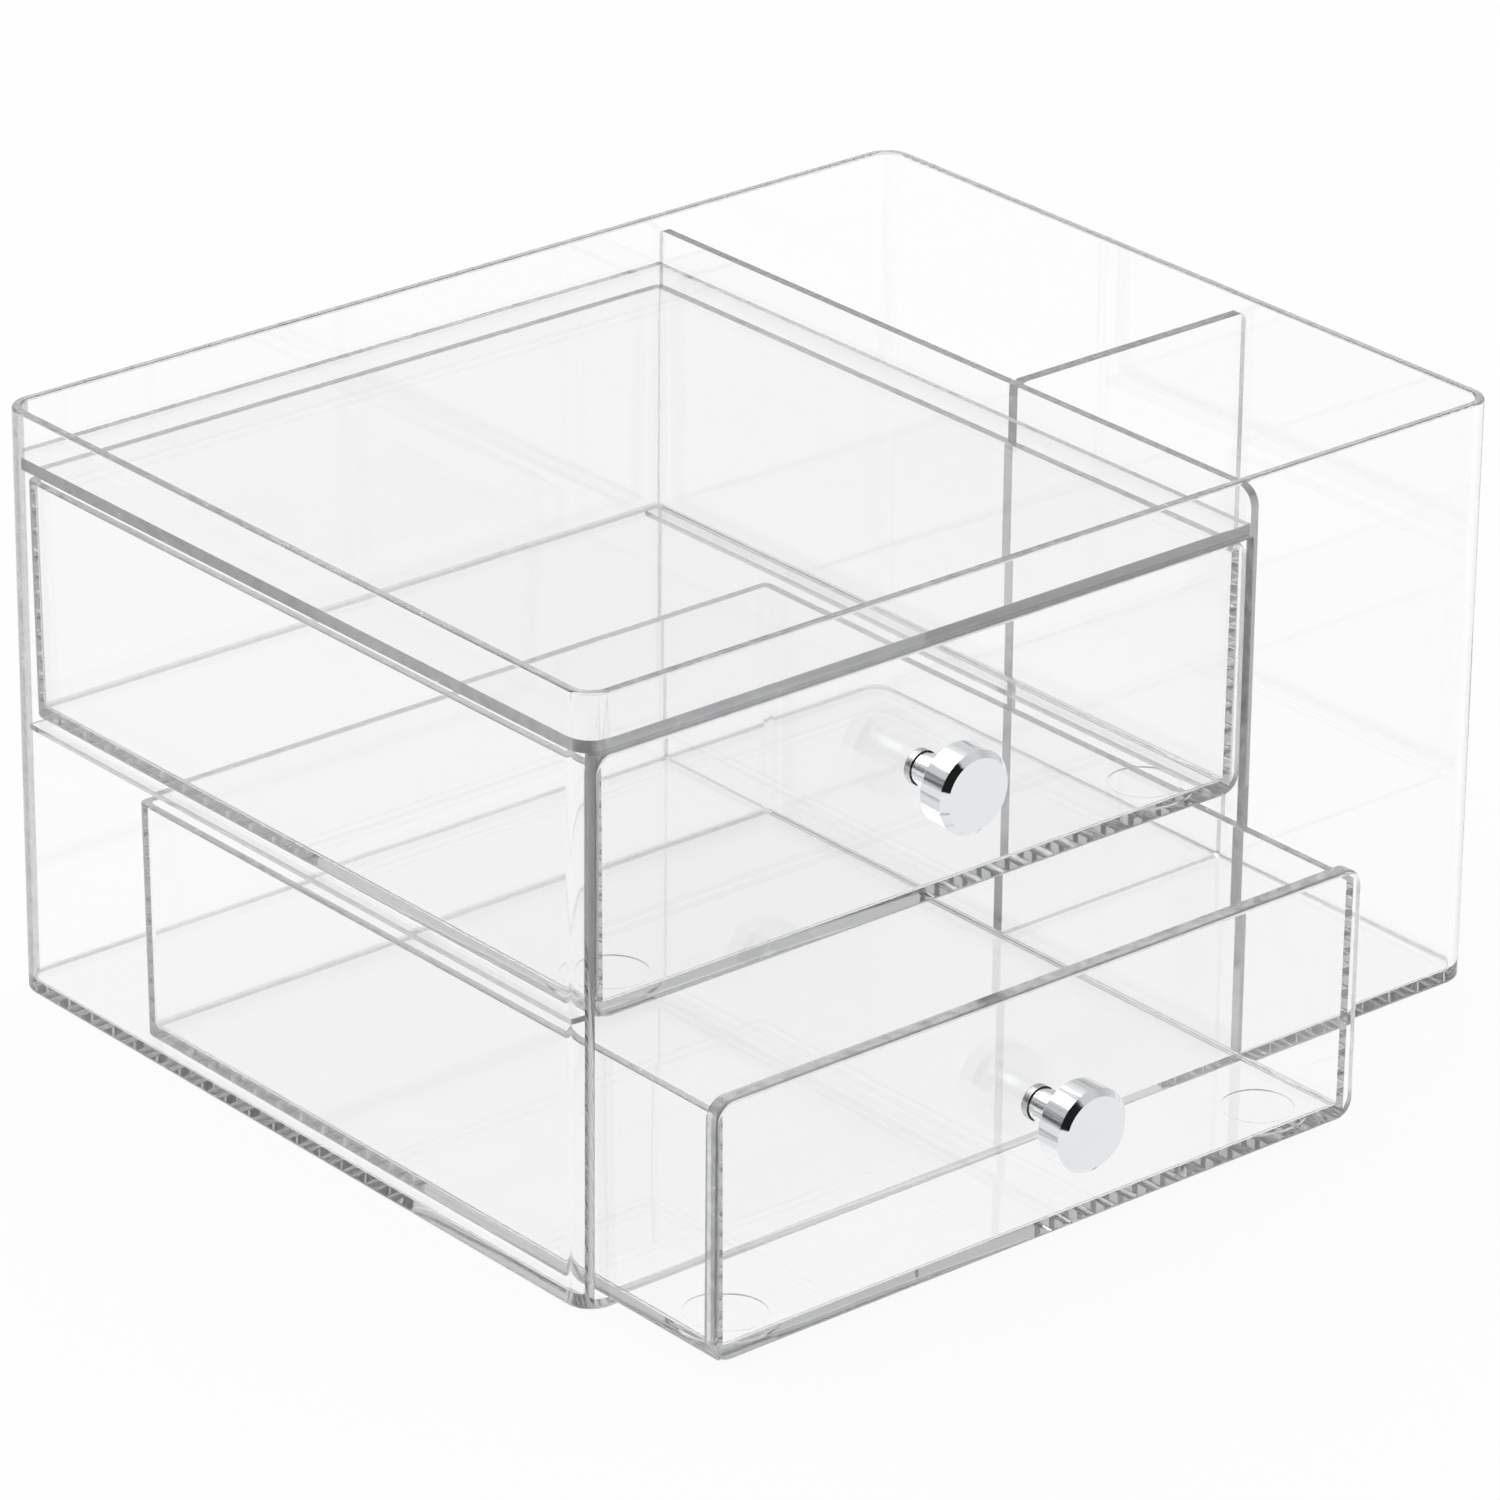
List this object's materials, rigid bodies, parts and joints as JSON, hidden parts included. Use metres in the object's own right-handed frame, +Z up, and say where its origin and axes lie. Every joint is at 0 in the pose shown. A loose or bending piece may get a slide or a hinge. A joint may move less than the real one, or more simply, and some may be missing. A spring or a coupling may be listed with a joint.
{
  "type": "acrylic makeup organizer drawers",
  "caption": "Clear acrylic tabletop organizer with stacked sliding drawers, an open tray on top and divided side compartments; round chrome knobs.",
  "frame": {"origin": "centre of the case's footprint, on its underside", "axes": "+X to the right seen from the drawer fronts, +Y from the fronts to the back, +Z up"},
  "size_m": [0.2314, 0.2309, 0.127],
  "materials": {
    "clear_acrylic": "water-clear, polished, fully see-through",
    "chrome": "bright mirror chrome",
    "screw_steel": "plain zinc-plated steel"
  },
  "bodies": {
    "case": {"case_shell": "clear_acrylic", "tray_deck": "clear_acrylic", "main_divider": "clear_acrylic", "cross_divider": "clear_acrylic", "left_rail": "clear_acrylic", "right_rail": "clear_acrylic"},
    "upper_drawer_body": {"upper_drawer": "clear_acrylic", "upper_knob": "chrome", "upper_knob_screw": "screw_steel"},
    "lower_drawer_body": {"lower_drawer": "clear_acrylic", "lower_knob": "chrome", "lower_knob_screw": "screw_steel"}
  },
  "joints": [
    {"name": "upper_drawer_slide", "type": "slide", "parent": "case", "child": "upper_drawer_body", "axis": [0, -1, 0], "range_m": [0, 0.15]},
    {"name": "lower_drawer_slide", "type": "slide", "parent": "case", "child": "lower_drawer_body", "axis": [0, -1, 0], "range_m": [-0.0352, 0.1148]}
  ]
}
